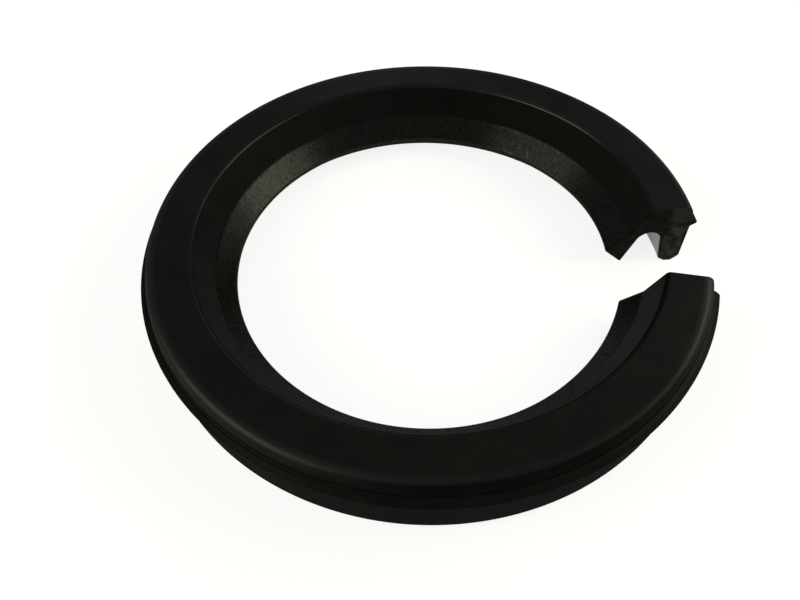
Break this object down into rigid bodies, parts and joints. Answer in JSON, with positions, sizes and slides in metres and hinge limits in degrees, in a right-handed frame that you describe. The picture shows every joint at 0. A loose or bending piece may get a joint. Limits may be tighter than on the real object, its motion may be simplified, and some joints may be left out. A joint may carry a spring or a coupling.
{
  "type": "crankshaft seal",
  "caption": "Split rubber lip seal ring for a crankshaft, with a flat heel, an outer rib, a leg that fits the housing and an inward sealing lip.",
  "frame": {"origin": "on the ring's axis, in the plane that the leg's foot stands on", "axes": "+Z along the ring's axis, from the foot up to the flat heel face; +X through the middle of the gap between the two cut ends"},
  "size_m": [0.1528, 0.154, 0.0214],
  "materials": {
    "black_rubber": "dull moulded rubber, with a slight sheen on its rounded edges and on the lip's cone"
  },
  "bodies": {
    "root": {"seal_ring": "black_rubber"}
  },
  "joints": []
}
